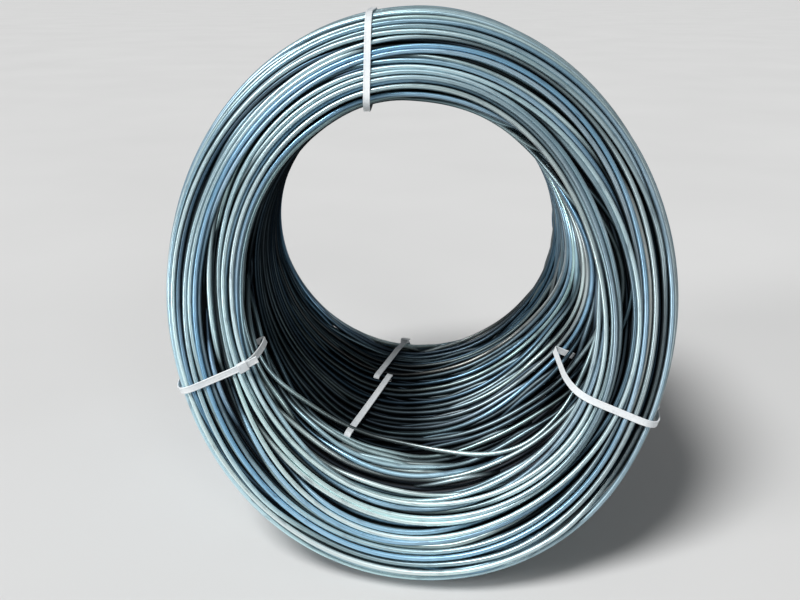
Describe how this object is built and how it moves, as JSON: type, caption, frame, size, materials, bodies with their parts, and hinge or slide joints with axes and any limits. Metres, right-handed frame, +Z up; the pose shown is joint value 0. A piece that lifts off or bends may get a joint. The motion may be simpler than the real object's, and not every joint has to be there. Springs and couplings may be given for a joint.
{
  "type": "coil of heating wire",
  "caption": "Loose coil of bluish-grey heating wire standing on its rim, its turns close at the top and fanned out at the foot, held by white cable ties.",
  "frame": {"origin": "on the floor under the middle of the coil's box", "axes": "+Z up, coil axis level along Y, -Y towards the front end, whose turns fan out at the foot"},
  "size_m": [0.5672, 0.4868, 0.5672],
  "materials": {
    "wire": "drawn and oxidised, bluish grey",
    "tie": "natural white nylon"
  },
  "bodies": {
    "root": {"wire_coil": "wire", "tie_top": "tie", "tie_left": "tie", "tie_right": "tie", "tie_floor_front": "tie", "tie_floor_back": "tie"}
  },
  "joints": []
}
